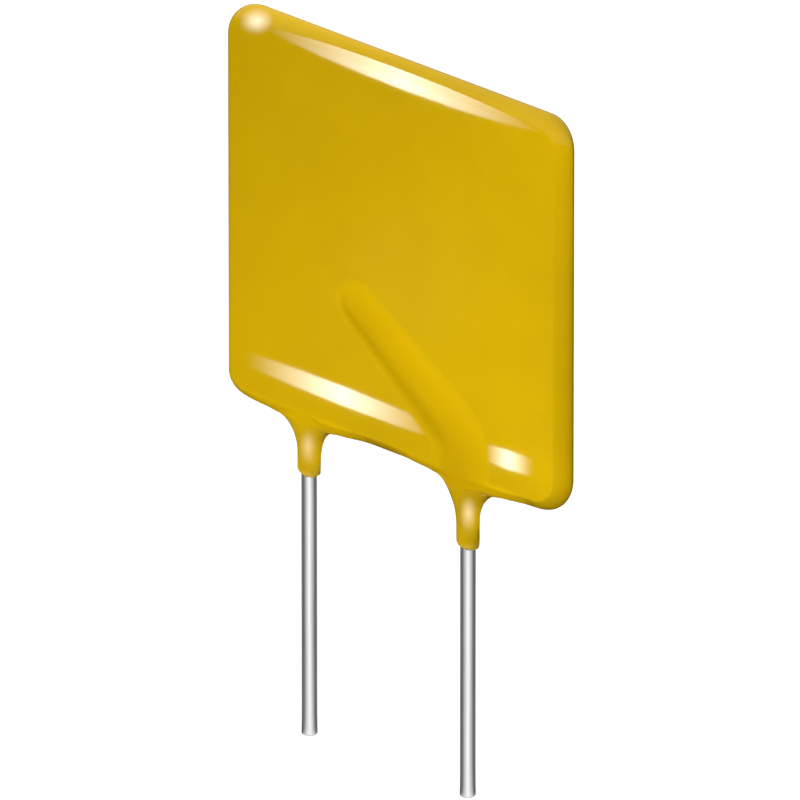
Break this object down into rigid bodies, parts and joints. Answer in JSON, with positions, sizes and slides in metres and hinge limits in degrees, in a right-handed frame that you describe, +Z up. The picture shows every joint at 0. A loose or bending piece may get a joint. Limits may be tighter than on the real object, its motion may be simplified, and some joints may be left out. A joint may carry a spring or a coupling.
{
  "type": "resettable fuse",
  "caption": "Thin square resettable fuse in glossy yellow epoxy, with a wire ridge slanting under the coat and straight tinned leads for a circuit board.",
  "frame": {"origin": "on the seating plane at the lower end of the longer coated leg, midway between the two leads", "axes": "+Z up from the board through the body, +X to the right along the row of leads, -Y out of the front face"},
  "size_m": [0.0109, 0.0012, 0.0196],
  "materials": {
    "yellow_epoxy": "glossy dipped epoxy",
    "black_polymer": "matt carbon-filled polymer",
    "nickel_foil": "matt nickel foil",
    "tinned_copper": "bright drawn tin",
    "solder": "satin solder"
  },
  "bodies": {
    "root": {"epoxy_coating": "yellow_epoxy", "ptc_polymer_sheet": "black_polymer", "front_electrode_foil": "nickel_foil", "rear_electrode_foil": "nickel_foil", "front_lead": "tinned_copper", "rear_lead": "tinned_copper", "front_solder_fillet": "solder", "rear_solder_fillet": "solder"}
  },
  "joints": []
}
